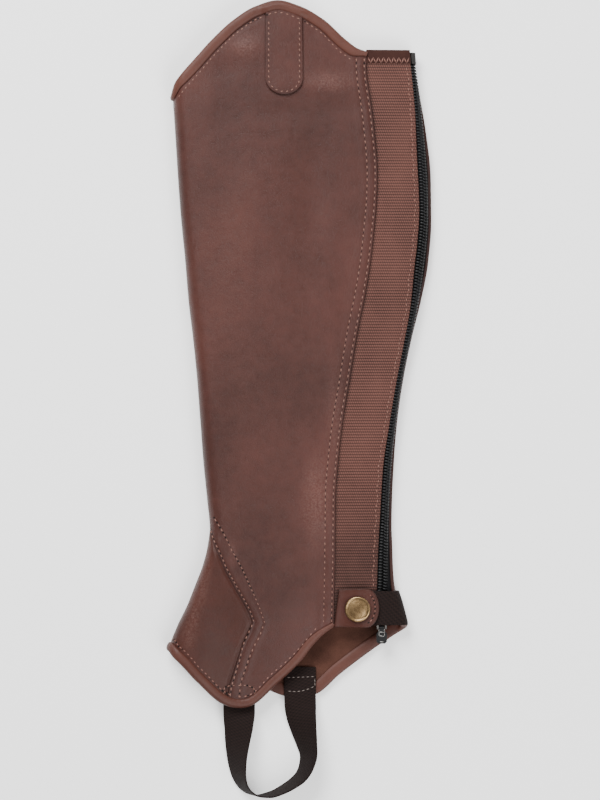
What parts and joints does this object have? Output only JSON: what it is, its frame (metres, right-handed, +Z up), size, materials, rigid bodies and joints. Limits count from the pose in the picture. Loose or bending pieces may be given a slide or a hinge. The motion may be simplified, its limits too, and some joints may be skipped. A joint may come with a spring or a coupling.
{
  "type": "leather gaiter",
  "caption": "Brown leather gaiter for a rider's left lower leg, laid flat, with a ribbed elastic gusset, a back zip, a snap tab at the ankle and an elastic strap that goes under the boot.",
  "frame": {"origin": "middle of the footprint, on the table the gaiter lies on", "axes": "+Z up from the table, out of the outer side; +Y along the leg towards the knee; +X from the shin fold towards the zip"},
  "size_m": [0.1662, 0.5014, 0.0213],
  "materials": {
    "leather": "smooth brown leather, semi-matt",
    "instep_leather": "smooth darker brown leather, semi-matt",
    "binding_leather": "thin folded reddish brown leather",
    "ribbed_elastic": "ribbed woven elastic, matt",
    "dark_webbing": "dark woven elastic, matt",
    "zip_tape": "black woven tape, matt",
    "zip_coil": "black nylon, satin",
    "grey_metal": "grey metal, satin",
    "brass": "aged brass, satin"
  },
  "bodies": {
    "gaiter": {"leg_panel": "leather", "instep_panel": "instep_leather", "elastic_gusset": "ribbed_elastic", "gusset_hem": "binding_leather", "top_binding": "binding_leather", "hem_binding": "binding_leather", "top_tab": "leather", "zip_tape_outer": "zip_tape", "zip_tape_inner": "zip_tape", "zip_chain": "zip_coil", "zip_retainer": "grey_metal", "zip_slider": "grey_metal", "closure_tab": "leather", "closure_elastic": "dark_webbing", "snap_cap": "brass", "snap_socket": "brass", "stirrup_strap": "dark_webbing"},
    "pull_tab": {"zip_pull": "zip_coil"}
  },
  "joints": [
    {"name": "zip_pull_hinge", "type": "hinge", "parent": "gaiter", "child": "pull_tab", "pos_m": [0.05269, -0.1433, 0.0126], "axis": [-1, 0, 0], "range_deg": [0, 90]}
  ]
}
